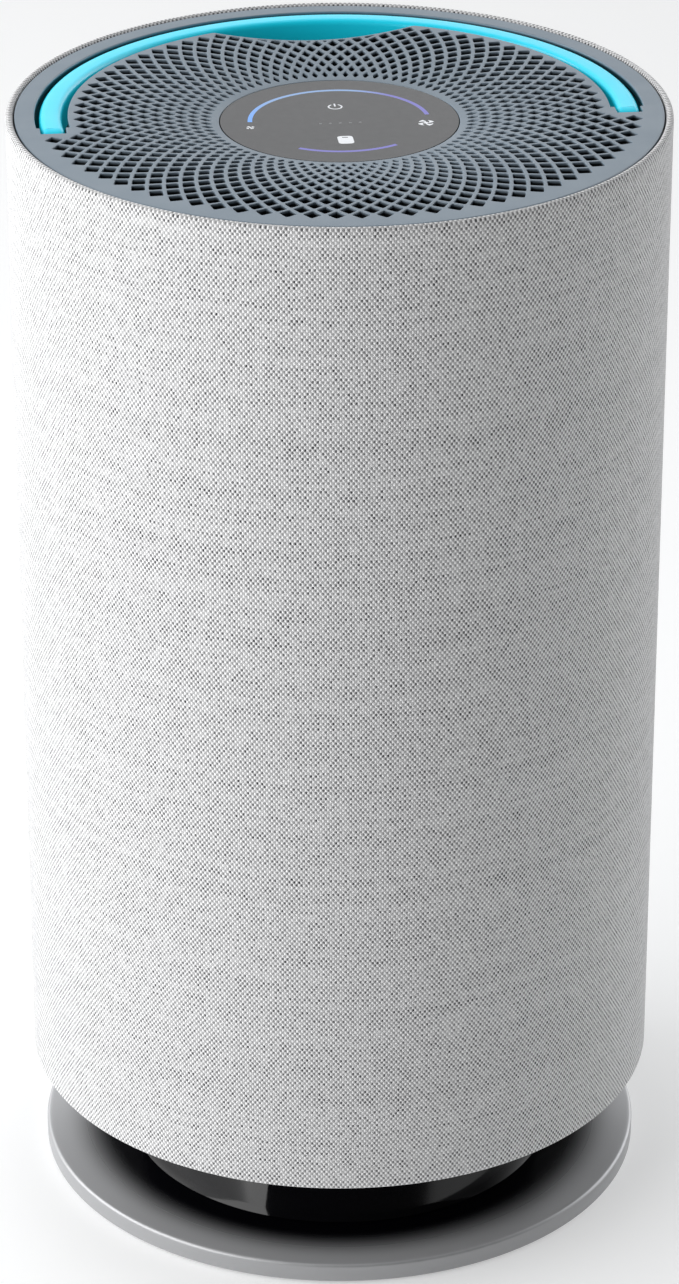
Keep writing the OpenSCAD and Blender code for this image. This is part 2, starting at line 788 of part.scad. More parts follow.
module grille_openings() {
    step = 360 / grille_count;
    for (row = [0 : all_rows - 1])
        let (r = first_row + row * row_pitch)
            for (j = [0 : grille_count - 1])
                let (a = (j + (row % 2) / 2) * step, x = r * cos(a), y = r * sin(a))
                    if (row < inner_rows ? norm([x, y - recess_y]) > recess_r + 6 : y < -22)
                        rotate(a - 90)
                            translate([0, r, cover_z - 20]) linear_extrude(40) polygon(diamond(r));
}

module top_cover() {
    radii = [for (i = [0 : 4]) lens_r + 0.3 + i * (slot_in - 2 - lens_r) / 5];
    color(slate)
        difference() {
            rotate_extrude()
                polygon(concat(
                    [for (r = radii) [r, cover_top(r)]],
                    [[slot_in - 2, cover_z], [cover_r - 0.6, cover_z], [cover_r, cover_z - 0.6],
                     [cover_r, cover_z - skirt_h], [cover_r - 2.2, cover_z - skirt_h],
                     [cover_r - 2.2, cover_z - cover_t], [slot_in - 2, cover_z - cover_t]],
                    [for (i = [4 : -1 : 0]) [radii[i], cover_top(radii[i]) - cover_t]]
                ));
            translate([0, 0, cover_z - 10]) linear_extrude(20) slot_plan();
            translate([0, 0, cover_z - 10]) linear_extrude(20) recess_plan();
            grille_openings();
        }
}

// ---- Display ----------------------------------------------------------

lens_t = 2.2;
arc_r = 36;
arc_w = 1.8;
inlay_t = 0.4;

module display_housing() {
    z0 = lens_z - 15;
    color(black) {
        translate([0, 0, z0]) cylinder(r = lens_r, h = 2);
        ring(lens_r - 2.6, lens_r, z0 + 1.5, lens_z - lens_t);
        ring(lens_r - 6, lens_r - 2, z0 + 1.5, lens_z - 6.2);
    }
}

module touch_board() {
    z0 = lens_z - 6.2;
    color(board_green) {
        translate([0, 0, z0]) cylinder(r = lens_r - 2.8, h = 1.6);
        for (a = [10 : 16 : 170]) rotate(a) translate([arc_r - 1, -1, z0 + 1.4]) cube([2, 2, 1]);
        for (a = [244 : 13 : 296]) rotate(a) translate([arc_r - 1, -1, z0 + 1.4]) cube([2, 2, 1]);
        translate([-5, -5, z0 - 2]) cube([10, 10, 2.2]);
    }
}

module light_guides() {
    color([0.9, 0.95, 1]) {
        sector(arc_r - 1.4, arc_r + 1.4, lens_z - 3.7, lens_z - lens_t, 91, 172);
        sector(arc_r - 1.4, arc_r + 1.4, lens_z - 3.7, lens_z - lens_t, 270, 65);
    }
}

// Plan of the printed symbols: power, fan fast, fan slow, filter and a row of dots
module fan_plan(size) {
    blade = concat(
        [for (i = [0 : 4]) let (t = i / 4) size * (0.08 + 0.42 * t) * [cos(30 * t - 15), sin(30 * t - 15)]],
        [for (a = [30, 48, 62, 70]) size * 0.5 * (1 - (a - 15) / 400) * [cos(a), sin(a)]],
        [for (i = [3 : -1 : 1]) let (t = i / 4) size * (0.08 + 0.32 * t) * [cos(62 * t), sin(62 * t)]]
    );
    for (a = [0 : 90 : 270]) rotate(a) polygon(blade);
    circle(r = size * 0.13);
}

module power_plan() {
    difference() {
        circle(r = 3);
        circle(r = 2.35);
        translate([-1.3, 0]) square([2.6, 5]);
    }
    translate([-0.33, 0.4]) square([0.66, 3.2]);
}

module filter_plan() {
    difference() {
        polygon(rounded(6.2, 8.8, 1.6));
        translate([-1.2, 2.4]) square([2.4, 0.8]);
    }
}

module symbols_plan() {
    translate([0, 16.2]) power_plan();
    translate([34.2, -6.6]) fan_plan(7);
    translate([-36.4, -4.6]) fan_plan(3.6);
    translate([0, -22.8]) filter_plan();
    for (x = [-8 : 4 : 8]) translate([x, -3]) circle(r = 0.6);
}

module icon_inlays() {
    color([0.95, 0.95, 0.97]) translate([0, 0, lens_z - inlay_t]) linear_extrude(inlay_t) symbols_plan();
}

module speed_light() {
    color([0.35, 0.60, 0.98])
        sector(arc_r - arc_w / 2, arc_r + arc_w / 2, lens_z - inlay_t, lens_z, 91, 172);
}

module filter_light() {
    color([0.45, 0.42, 0.85])
        sector(arc_r - arc_w / 2, arc_r + arc_w / 2, lens_z - inlay_t, lens_z, 270, 65);
}

module display_lens() {
    color([0.30, 0.30, 0.31])
        difference() {
            translate([0, 0, lens_z - lens_t]) cylinder(r = lens_r, h = lens_t);
            translate([0, 0, lens_z - inlay_t]) linear_extrude(4) symbols_plan();
            sector(arc_r - arc_w / 2, arc_r + arc_w / 2, lens_z - inlay_t, lens_z + 4, 91, 172);
            sector(arc_r - arc_w / 2, arc_r + arc_w / 2, lens_z - inlay_t, lens_z + 4, 270, 65);
        }
}

// ---- Handle -----------------------------------------------------------

module handle() {
    start = asin(hinge_y / handle_r);
    color(cyan)
        difference() {
            union() {
                rotate(start)
                    rotate_extrude(angle = 180 - 2 * start)
                        translate([handle_r, cover_z - handle_h / 2])
                            polygon(rounded(handle_w, handle_h, 2.4));
                for (s = [-1, 1])
                    translate([s * hinge_x, hinge_y, hinge_z]) rotate([0, 90, 0])
                        cylinder(r = boss_r, h = handle_w - 0.3, center = true);
            }
            for (s = [-1, 1])
                translate([s * hinge_x, hinge_y, hinge_z]) rotate([0, 90, 0])
                    cylinder(r = pin_r + 0.06, h = 20, center = true);
        }
}

module handle_pin(side) {
    length = slot_out - slot_in + 2 * wall_t - 1;
    color(steel)
        translate([side * hinge_x, hinge_y, hinge_z]) rotate([0, 90, 0])
            cylinder(r = pin_r, h = length, center = true);
}

foot_pads();
base_underplate();
base_disc();
pedestal();
base_screws();
filter_door();
bottom_ring();
cage_screws();
outer_cage();
fabric_sleeve();
inlet_bezel();
power_inlet();
inlet_contacts();
filter_bottom_cap();
filter_media();
carbon_core();
filter_top_cap();
filter_seal();
filter_pull_tab();
fan_housing();
inlet_cone();
impeller();
rotor_cup();
motor_shaft();
motor_stator();
motor_base();
shaft_bearings();
motor_screws();
diffuser();
control_board();
board_screws();
board_cover();
mains_lead();
motor_lead();
display_lead();
upper_frame();
finger_cup();
frame_screws();
top_cover();
display_housing();
touch_board();
light_guides();
display_lens();
speed_light();
filter_light();
icon_inlays();
handle();
handle_pin(-1);  // handle_pin_left
handle_pin(1);  // handle_pin_right
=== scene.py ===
"""Looks of a cylindrical air purifier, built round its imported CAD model. Sizes are in millimetres."""
import json
import math

import bpy
import numpy as np
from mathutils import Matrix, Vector
from mathutils.geometry import delaunay_2d_cdt


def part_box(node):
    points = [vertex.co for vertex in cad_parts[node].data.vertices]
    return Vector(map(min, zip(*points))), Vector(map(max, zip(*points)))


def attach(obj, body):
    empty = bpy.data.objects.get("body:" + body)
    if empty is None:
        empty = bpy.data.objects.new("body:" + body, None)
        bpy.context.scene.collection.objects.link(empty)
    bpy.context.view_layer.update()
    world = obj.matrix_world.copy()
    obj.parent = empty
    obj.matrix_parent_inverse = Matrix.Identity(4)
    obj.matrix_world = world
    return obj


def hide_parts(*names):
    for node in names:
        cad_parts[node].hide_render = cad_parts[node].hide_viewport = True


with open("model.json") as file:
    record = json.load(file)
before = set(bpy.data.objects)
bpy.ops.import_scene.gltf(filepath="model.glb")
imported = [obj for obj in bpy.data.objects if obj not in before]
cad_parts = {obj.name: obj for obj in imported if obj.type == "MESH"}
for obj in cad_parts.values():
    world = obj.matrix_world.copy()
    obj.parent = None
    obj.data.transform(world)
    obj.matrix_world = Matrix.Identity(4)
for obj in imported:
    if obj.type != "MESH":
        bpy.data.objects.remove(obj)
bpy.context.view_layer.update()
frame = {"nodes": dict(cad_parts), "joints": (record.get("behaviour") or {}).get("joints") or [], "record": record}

MM = 0.001


# ---- Sizes, from the frame -------------------------------------------

def box_mm(node):
    """Lowest and highest corner of a CAD node, in millimetres."""
    low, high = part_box(node)
    return low / MM, high / MM


def joint(name):
    """The joint of that name."""
    return next(j for j in frame["joints"] if j["name"] == name)


sleeve_low, sleeve_high = box_mm("fabric_sleeve")
SLEEVE_R = sleeve_high.x
SLEEVE_BOTTOM, SLEEVE_TOP = sleeve_low.z, sleeve_high.z
COVER_R, COVER_TOP = box_mm("top_cover")[1].x, box_mm("top_cover")[1].z
LENS_R, LENS_TOP = box_mm("display_lens")[1].x, box_mm("display_lens")[1].z
DISC_R, DISC_TOP, DISC_BOTTOM = box_mm("base_disc")[1].x, box_mm("base_disc")[1].z, box_mm("base_disc")[0].z
PEDESTAL_R = box_mm("pedestal")[1].x
PEDESTAL_BOTTOM, PEDESTAL_TOP = box_mm("pedestal")[0].z, box_mm("pedestal")[1].z
GRIP_OUT = box_mm("handle")[1].y
GRIP_LOW, GRIP_TOP = box_mm("handle")[0].z, box_mm("handle")[1].z
HINGE_Y, HINGE_Z = (joint("handle_lift")["pos_m"][i] / MM for i in (1, 2))
BEZEL_LOW, BEZEL_HIGH = box_mm("inlet_bezel")

# Handle and its slot, seen from above
GRIP_W = 9.2
GRIP_IN = GRIP_OUT - GRIP_W
BOSS_R = 5.5
SLOT_IN, SLOT_OUT = GRIP_IN - 2.3, GRIP_OUT + 1.8
POCKET_Y = HINGE_Y + 1.0
SLOT_END_Y = HINGE_Y - BOSS_R - 0.4
POCKET_GAP = 0.55

# Finger recess: the circle that bites into the grille
RECESS_R, RECESS_Y = 76.0, 163.8
RECESS_CORNER = 3.0

# Cover skirt
SKIRT_T, SKIRT_H = 2.2, 14.0

# Fabric: its turned-over lip, its thickness, and how far it is turned in
LIP_R = 1.5
CLOTH_T = 0.6
TURNED_IN, TURNED_UNDER = 7.5, 2.4

# Grille
CELLS = 80
ROW_FIRST, ROW_PITCH = 53.7, 4.96
RIB = 1.55
HOLE_CORNER = 0.75
INNER_ROWS, ALL_ROWS = 11, 14
DISH_R = 107.2
COVER_T = 2.6
DISH_DROP = COVER_TOP - LENS_TOP


# ---- Mesh building ----------------------------------------------------

def make_piece(name, points, faces, material, body, replaces=(), smooth_angle=32):
    """A new piece from points in millimetres, riding a body."""
    mesh = bpy.data.meshes.new(name)
    mesh.from_pydata([Vector(p) * MM for p in points], [], faces)
    mesh.validate()
    mesh.polygons.foreach_set("use_smooth", [True] * len(mesh.polygons))
    mesh.set_sharp_from_angle(angle=math.radians(smooth_angle))
    mesh.materials.append(material)
    piece = bpy.data.objects.new(name, mesh)
    bpy.context.scene.collection.objects.link(piece)
    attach(piece, body)
    if replaces:
        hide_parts(*replaces)
    return piece


def arc(cx, cz, radius, start, end, steps):
    """Points along an arc, from start to end degrees."""
    angles = [math.radians(start + (end - start) * i / steps) for i in range(steps + 1)]
    return [(cx + radius * math.cos(a), cz + radius * math.sin(a)) for a in angles]


def polar(radius, angle):
    return (radius * math.cos(angle), radius * math.sin(angle))


def lathe(profile, segments=192, closed=True):
    """Points and faces of a profile of (r, z) turned about Z. A closed profile joins its ends."""
    points, rings = [], []
    for r, z in profile:
        if r < 1e-6:
            rings.append([len(points)] * segments)
            points.append((0, 0, z))
        else:
            rings.append([len(points) + s for s in range(segments)])
            points += [(*polar(r, 2 * math.pi * s / segments), z) for s in range(segments)]
    pairs = list(zip(rings, rings[1:] + rings[:1])) if closed else list(zip(rings, rings[1:]))
    faces = []
    for low, high in pairs:
        for s in range(segments):
            t = (s + 1) % segments
            corners = [low[s], low[t], high[t], high[s]]
            face = [c for i, c in enumerate(corners) if c != corners[i - 1]]
            if len(face) > 2:
                faces.append(face)
    return points, faces


def merge(*parts):
    """Several (points, faces) as one."""
    points, faces = [], []
    for more_points, more_faces in parts:
        faces += [[i + len(points) for i in f] for f in more_faces]
        points += more_points
    return points, faces


def inset(loop, distance):
    """An anticlockwise convex polygon with every edge moved inwards."""
    moved = []
    n = len(loop)
    for i in range(n):
        p, q = Vector(loop[i]), Vector(loop[(i + 1) % n])
        d = (q - p).normalized()
        normal = Vector((-d.y, d.x))
        moved.append((p + normal * distance, d))
    out = []
    for i in range(n):
        (p, d), (q, e) = moved[i - 1], moved[i]
        cross = d.x * e.y - d.y * e.x
        t = ((q.x - p.x) * e.y - (q.y - p.y) * e.x) / cross
        out.append((p.x + d.x * t, p.y + d.y * t))
    return out


def clip(loop, origin, normal):
    """The part of a convex polygon on the normal's side of a line."""
    side = [(Vector(p) - origin).dot(normal) for p in loop]
    out = []
    for i, p in enumerate(loop):
        a, b = side[i - 1], side[i]
        if (a < 0) != (b < 0):
            out.append(tuple(Vector(loop[i - 1]).lerp(Vector(p), a / (a - b))))
        if b >= 0:
            out.append(tuple(p))
    return out


def area(loop):
    return sum(p[0] * q[1] - q[0] * p[1] for p, q in zip(loop, loop[1:] + loop[:1])) / 2


def fillet(loop, radius, steps=3):
    """A convex polygon with rounded corners."""
    out = []
    n = len(loop)
    for i in range(n):
        p, c, q = (Vector(loop[k % n]) for k in (i - 1, i, i + 1))
        u, v = (p - c), (q - c)
        half = u.angle(v) / 2
        reach = min(radius / math.tan(half), 0.45 * u.length, 0.45 * v.length)
        u.normalize()
        v.normalize()
        start, end = c + u * reach, c + v * reach
        for k in range(steps + 1):
            t = k / steps
            out.append(tuple(start * (1 - t) ** 2 + c * (2 * t * (1 - t)) + end * t * t))
    return out


def spread_out(loop, distance):
    """A loop moved outwards along its corners' normals, or inwards if distance is negative."""
    pts = np.array(loop)
    ahead = np.roll(pts, -1, axis=0) - pts
    ahead /= np.linalg.norm(ahead, axis=1)[:, None]
    normal = np.stack([ahead[:, 1], -ahead[:, 0]], axis=1)
    both = normal + np.roll(normal, 1, axis=0)
    both /= np.maximum((both * both).sum(axis=1) / 2, 0.5)[:, None]
    return [tuple(p) for p in pts + both * distance]


def plate(outer, holes, top, thickness, bevel, hole_bevel):
    """A plate with holes, its edges rounded over: top(x, y) gives its upper face.

    Loops run anticlockwise. Faces are triangulated between them, and each carries a wall.
    """
    loops = [outer, *holes]
    rolls = [(0.0, 1.0), (0.293, 0.293), (1.0, 0.0)]      # (drop, reach) as shares of the bevel
    points, levels = [], []
    for drop, reach in rolls + [(None, 0.0)]:
        level = []
        for n, loop in enumerate(loops):
            size = bevel if n < 2 else hole_bevel
            away = -size if n == 0 else size
            moved = spread_out(loop, away * reach) if reach else loop
            fall = thickness if drop is None else size * drop
            level.append(range(len(points), len(points) + len(moved)))
            points += [(x, y, top(x, y) - fall) for x, y in moved]
        levels.append(level)
    count = sum(len(loop) for loop in loops)
    faces = []
    for corners in between_loops(points[:count], levels[0]):
        faces.append(corners)
        faces.append([c + count * len(rolls) for c in reversed(corners)])
    for upper, lower in zip(levels, levels[1:]):
        for n, (a, b) in enumerate(zip(upper, lower)):
            for i in range(len(a)):
                j = (i + 1) % len(a)
                face = [a[i], b[i], b[j], a[j]]
                faces.append(face if n == 0 else face[::-1])
    return points, faces


def between_loops(points, loops):
    """Triangles between the first loop and the rest, seen from above, as indices of the points."""
    flat = [Vector(p[:2]) for p in points]
    result = delaunay_2d_cdt(flat, [], [list(loop) for loop in loops], 0, 1e-4, True)
    at = [origin[0] if origin else None for origin in result[3]]
    triangles = []
    for triangle, origin in zip(result[2], result[5]):
        if list(origin) == [0]:
            corners = [at[i] for i in triangle]
            if None in corners:
                raise ValueError("loops of the plate cross")
            triangles.append(corners)
    return triangles


# ---- Materials --------------------------------------------------------

class Graph:
    """A material's node tree, with short ways to add nodes."""

    def __init__(self, name):
        self.material = bpy.data.materials.new(name)
        self.material.use_nodes = True
        self.tree = self.material.node_tree
        self.shader = self.tree.nodes["Principled BSDF"]
        self.place = None

    def add(self, kind, inputs=None, **settings):
        node = self.tree.nodes.new(kind)
        for key, value in settings.items():
            setattr(node, key, value)
        for key, value in (inputs or {}).items():
            self.feed(node.inputs[key], value)
        return node

    def feed(self, socket, value):
        if isinstance(value, bpy.types.NodeSocket):
            self.tree.links.new(value, socket)
        else:
            socket.default_value = value

    def point(self):
        """The point on the object, in metres."""
        if self.place is None:
            self.place = self.add("ShaderNodeTexCoord").outputs["Object"]
        return self.place

    def radius(self):
        """Distance from the object's axis, in metres."""
        flat = self.add("ShaderNodeVectorMath", {0: self.point(), 1: (1.0, 1.0, 0.0)}, operation="MULTIPLY")
        return self.add("ShaderNodeVectorMath", {0: flat.outputs[0]}, operation="LENGTH").outputs["Value"]

    def math(self, operation, a, b=0.0, c=0.0):
        return self.add("ShaderNodeMath", {0: a, 1: b, 2: c}, operation=operation).outputs[0]

    def noise(self, scale, detail=2.0, rough=0.5, vector=None):
        inputs = {"Vector": vector or self.point(), "Scale": scale, "Detail": detail, "Roughness": rough}
        return self.add("ShaderNodeTexNoise", inputs).outputs["Fac"]

    def ramp(self, value, low, high, out_low=0.0, out_high=1.0):
        inputs = {"Value": value, "From Min": low, "From Max": high, "To Min": out_low, "To Max": out_high}
        return self.add("ShaderNodeMapRange", inputs).outputs[0]

    def mix(self, share, a, b):
        node = self.add("ShaderNodeMix", data_type="RGBA")
        for socket, value in zip((node.inputs[0], node.inputs[6], node.inputs[7]), (share, a, b)):
            self.feed(socket, value)
        return node.outputs[2]

    def bump(self, height, distance, strength=1.0):
        node = self.add("ShaderNodeBump", {"Height": height, "Distance": distance, "Strength": strength})
        self.feed(self.shader.inputs["Normal"], node.outputs[0])

    def set(self, **values):
        for key, value in values.items():
            self.feed(self.shader.inputs[key.replace("_", " ")], value)
        return self


def rgb(r, g, b):
    return (r, g, b, 1.0)


def shaded(colour, share):
    return (*(c * share for c in colour[:3]), 1.0)


def moulded(name, colour, roughness=0.5, grain=2600.0, depth=0.02, spread=0.06, coat=0.0, glow=0.0):
    """Moulded plastic: a fine spark-eroded grain, with slight unevenness of tone and gloss.

    The glow is painted light: an even emission in the plastic's own colour, standing in for light scattered within
    a bright plastic.
    """
    g = Graph(name)
    cloud = g.noise(14.0, 3.0)
    g.set(Base_Color=g.mix(cloud, shaded(colour, 1 - spread), shaded(colour, 1 + spread)))
    g.set(Roughness=g.ramp(g.noise(60.0, 4.0), 0.3, 0.7, roughness - 0.05, roughness + 0.05))
    g.bump(g.noise(grain, 2.0), depth * MM)
    g.set(Coat_Weight=coat, Coat_Roughness=0.08, IOR=1.48)
    # Painted glow: the plastic emits light in its own colour, though it holds no lamp.
    g.set(Emission_Color=rgb(*colour[:3]), Emission_Strength=glow)
    return g.material


def metal(name, colour, roughness=0.3, brush=900.0):
    """Bare or plated metal with a faint turned grain."""
    g = Graph(name)
    split = g.add("ShaderNodeSeparateXYZ", {0: g.point()})
    radius = g.math("SQRT", g.math("ADD", g.math("MULTIPLY", split.outputs[0], split.outputs[0]),
                                   g.math("MULTIPLY", split.outputs[1], split.outputs[1])))
    line = g.add("ShaderNodeCombineXYZ", {0: radius, 1: split.outputs[2]}).outputs[0]
    grain = g.noise(brush, 3.0, 0.6, line)
    g.set(Base_Color=g.mix(grain, shaded(colour, 0.9), shaded(colour, 1.05)), Metallic=1.0)
    g.set(Roughness=g.ramp(grain, 0.3, 0.7, roughness - 0.06, roughness + 0.06))
    g.bump(grain, 0.01 * MM)
    return g.material


def sheath(name, colour):
    """The plastic sheath of a lead."""
    g = Graph(name)
    g.set(Base_Color=g.mix(g.noise(90.0), shaded(colour, 0.85), shaded(colour, 1.1)), Roughness=0.5)
    g.bump(g.noise(1500.0), 0.02 * MM)
    return g.material


def rubber(name):
    """Soft matt rubber with dust in its grain."""
    g = Graph(name)
    dust = g.ramp(g.noise(240.0, 6.0, 0.7), 0.55, 0.8)
    g.set(Base_Color=g.mix(dust, rgb(0.018, 0.018, 0.019), rgb(0.06, 0.06, 0.058)))
    g.set(Roughness=g.ramp(dust, 0.0, 1.0, 0.7, 0.9))
    g.bump(g.noise(1800.0, 3.0), 0.05 * MM)
    return g.material


WARP_PITCH, WEFT_PITCH = 0.99, 1.24


def woven(name, light, dark):
    """Plain weave round a cylinder: light warp threads with staggered near-black dots where the weft lies over
    them, partly a darker weft and partly painted shade in the weave's sunken cells; the darkening between threads
    is painted shade too.
    """
    g = Graph(name)
    split = g.add("ShaderNodeSeparateXYZ", {0: g.point()})
    angle = g.math("ARCTAN2", split.outputs[1], split.outputs[0])
    warps = round(2 * math.pi * SLEEVE_R / WARP_PITCH / 2) * 2
    drift = g.noise(35.0, 2.0)
    u = g.math("MULTIPLY_ADD", angle, warps / (2 * math.pi), g.math("MULTIPLY", drift, 0.5))
    sag = g.math("MULTIPLY", g.noise(22.0, 2.0), 0.7)
    v = g.math("MULTIPLY_ADD", split.outputs[2], 1 / (WEFT_PITCH * MM), sag)
    column, row = g.math("FLOOR", u), g.math("FLOOR", v)
    across, along = g.math("FRACT", u), g.math("FRACT", v)
    over = g.math("PINGPONG", g.math("ADD", column, row), 1.0)
    hump_u = g.math("SINE", g.math("MULTIPLY", across, math.pi))
    hump_v = g.math("SINE", g.math("MULTIPLY", along, math.pi))
    hump = g.math("MULTIPLY", g.math("POWER", hump_u, 0.6), g.math("POWER", hump_v, 0.6))
    cell = g.add("ShaderNodeCombineXYZ", {0: column, 1: row}).outputs[0]
    chance = g.add("ShaderNodeTexWhiteNoise", {"Vector": cell}, noise_dimensions="3D").outputs["Value"]
    thread = g.add("ShaderNodeTexWhiteNoise", {"W": row}, noise_dimensions="1D").outputs["Value"]
    patch = g.noise(150.0, 3.0)
    # The near-black dots: partly the weft's colour, partly painted shade in the sunken cells.
    spot = g.math("MULTIPLY", over, g.ramp(hump, 0.15, 0.55))
    spot = g.math("MULTIPLY", spot, g.ramp(chance, 0.0, 1.0, 0.6, 1.0))
    spot = g.math("MULTIPLY", spot, g.ramp(patch, 0.3, 0.7, 0.85, 1.02))
    spot = g.math("MULTIPLY", spot, g.ramp(thread, 0.0, 1.0, 0.88, 1.04))
    # Painted shade in the hollows between threads.
    gap = g.ramp(hump, 0.0, 0.45, 0.5, 0.0)
    shade = g.math("ADD", spot, gap)
    tone = g.mix(g.ramp(thread, 0.0, 1.0, 0.0, 0.3), light, shaded(light, 0.9))
    g.set(Base_Color=g.mix(shade, tone, dark), Roughness=0.9, Sheen_Weight=0.25, Sheen_Roughness=0.5)
    rise = g.math("MULTIPLY", hump, g.math("MULTIPLY_ADD", over, -0.85, 1.0))
    g.bump(g.math("ADD", rise, g.math("MULTIPLY", g.noise(4000.0, 2.0), 0.2)), 0.3 * MM)
    return g.material


def satin_disc(name):
    """Satin metallic paint with fine flake, with painted shade: it goes black towards the pedestal, as in the
    shade of the body above, and the rim's side is darkened.
    """
    g = Graph(name)
    # Painted shade and reflection: towards the pedestal the colour fades to black, under the dark body above.
    span = {"Value": g.radius(), "From Min": 0.099, "From Max": 0.1245}
    shade_fade = g.add("ShaderNodeMapRange", span, interpolation_type="SMOOTHERSTEP").outputs[0]
    flake = g.noise(5200.0, 1.0)
    paint = g.mix(flake, rgb(0.60, 0.605, 0.62), rgb(0.68, 0.685, 0.70))
    # Painted shade: the rim's side is darkened in the colour.
    side = g.ramp(g.radius(), (DISC_R - 0.8) * MM, (DISC_R - 0.1) * MM, 0.0, 0.45)
    paint = g.mix(side, paint, rgb(0.05, 0.05, 0.052))
    g.set(Base_Color=g.mix(shade_fade, rgb(0.003, 0.003, 0.005), paint), Metallic=0.35)
    g.set(Roughness=g.ramp(shade_fade, 0.0, 1.0, 0.14, 0.38))
    g.bump(flake, 0.006 * MM)
    return g.material


def gloss_black(name):
    """High-gloss black moulding."""
    g = Graph(name)
    haze = g.noise(18.0, 4.0)
    g.set(Base_Color=g.mix(haze, rgb(0.002, 0.002, 0.003), rgb(0.004, 0.004, 0.005)), IOR=1.42)
    g.set(Roughness=g.ramp(haze, 0.3, 0.7, 0.04, 0.08))
    g.bump(g.noise(9.0, 2.0), 0.05 * MM)
    return g.material


def slate_deck(name, colour):
    """The cover's grained moulding, with painted shade: it turns near-black below its upper face, inside the
    openings and the slot.
    """
    g = Graph(name)
    height = g.add("ShaderNodeSeparateXYZ", {0: g.point()}).outputs[2]
    fall = g.ramp(g.radius(), DISH_R * MM, LENS_R * MM)
    top = g.math("MULTIPLY_ADD", g.math("MULTIPLY", fall, fall), -DISH_DROP * MM, COVER_TOP * MM)
    # Painted shade: the colour darkens to near-black with depth below the dished upper face, where the openings
    # and the slot fall into shade.
    depth = g.ramp(g.math("SUBTRACT", top, height), 0.35 * MM, 1.3 * MM)
    cloud = g.noise(14.0, 3.0)
    tone = g.mix(cloud, shaded(colour, 0.97), shaded(colour, 1.03))
    g.set(Base_Color=g.mix(depth, tone, shaded(colour, 0.03)))
    g.set(Roughness=g.ramp(g.noise(60.0, 4.0), 0.3, 0.7, 0.37, 0.47))
    g.bump(g.noise(3000.0, 2.0), 0.015 * MM)
    return g.material


def lens(name):
    """Smoked display window, faintly clouded under its surface."""
    g = Graph(name)
    cloud = g.noise(30.0, 3.0)
    g.set(Base_Color=g.mix(cloud, rgb(0.016, 0.016, 0.019), rgb(0.024, 0.024, 0.027)))
    g.set(Roughness=g.ramp(g.noise(300.0, 2.0), 0.3, 0.7, 0.20, 0.26), IOR=1.45)
    return g.material


def glow(name, stops, strength):
    """A lit inlay whose colour runs from right to left, as (share of a half turn, colour)."""
    g = Graph(name)
    split = g.add("ShaderNodeSeparateXYZ", {0: g.point()})
    turn = g.ramp(g.math("ARCTAN2", g.math("ABSOLUTE", split.outputs[1]), split.outputs[0]), 0.0, math.pi)
    ramp = g.add("ShaderNodeValToRGB", {0: turn})
    while len(ramp.color_ramp.elements) < len(stops):
        ramp.color_ramp.elements.new(0.5)
    for element, (place, colour) in zip(ramp.color_ramp.elements, stops):
        element.position = place
        element.color = colour
    g.set(Base_Color=g.mix(0.97, ramp.outputs[0], rgb(0.0, 0.0, 0.0)), Roughness=0.3)
    g.set(Emission_Color=ramp.outputs[0], Emission_Strength=strength)
    return g.material


def printed(name):
    """Lit white symbols behind the window, with dim dots in the middle."""
    g = Graph(name)
    tone = g.mix(g.noise(900.0), rgb(0.66, 0.69, 0.74), rgb(0.80, 0.82, 0.85))
    lit = g.ramp(g.radius(), 11.0 * MM, 12.0 * MM, 0.14, 0.95)
    g.set(Base_Color=g.mix(0.92, tone, rgb(0.0, 0.0, 0.0)), Roughness=0.35)
    g.set(Emission_Color=tone, Emission_Strength=lit)
    return g.material


def circuit(name):
    """Green solder mask over copper tracks."""
    g = Graph(name)
    brick = g.add("ShaderNodeTexBrick", {"Vector": g.point(), "Scale": 90.0, "Mortar Size": 0.06,
                                         "Color1": rgb(0.010, 0.11, 0.05), "Color2": rgb(0.014, 0.14, 0.07),
                                         "Mortar": rgb(0.05, 0.26, 0.12)})
    g.set(Base_Color=brick.outputs[0], Roughness=0.35)
    g.bump(brick.outputs[1], 0.03 * MM)
    return g.material


def paper(name):
    """Fibrous filter paper."""
    g = Graph(name)
    fibre = g.noise(1100.0, 8.0, 0.75)
    g.set(Base_Color=g.mix(fibre, rgb(0.76, 0.75, 0.70), rgb(0.93, 0.93, 0.90)), Roughness=0.95)
    g.bump(fibre, 0.15 * MM)
    return g.material


def granules(name, colour, size):
    """Foam cells or carbon granules."""
    g = Graph(name)
    cells = g.add("ShaderNodeTexVoronoi", {"Vector": g.point(), "Scale": 1000.0 / size}).outputs["Distance"]
    g.set(Base_Color=g.mix(cells, shaded(colour, 1.5), shaded(colour, 0.4)), Roughness=0.85)
    g.bump(cells, 0.3 * size * MM, 0.6)
    return g.material


def ribbon(name, colour):
    """Woven ribbon with crosswise ribs."""
    g = Graph(name)
    inputs = {"Vector": g.point(), "Scale": 420.0, "Distortion": 0.4}
    rib = g.add("ShaderNodeTexWave", inputs, bands_direction="Y")
    g.set(Base_Color=g.mix(rib.outputs[1], shaded(colour, 0.7), colour), Roughness=0.85)
    g.bump(rib.outputs[1], 0.1 * MM)
    return g.material


def windings(name):
    """Enamelled copper wire, coil beside coil."""
    g = Graph(name)
    inputs = {"Vector": g.point(), "Scale": 600.0, "Distortion": 0.2}
    wire = g.add("ShaderNodeTexWave", inputs, bands_direction="Z")
    g.set(Base_Color=g.mix(wire.outputs[1], rgb(0.30, 0.09, 0.03), rgb(0.80, 0.36, 0.15)), Metallic=0.9)
    g.set(Roughness=g.ramp(wire.outputs[1], 0.0, 1.0, 0.45, 0.25))
    g.bump(wire.outputs[1], 0.25 * MM)
    return g.material


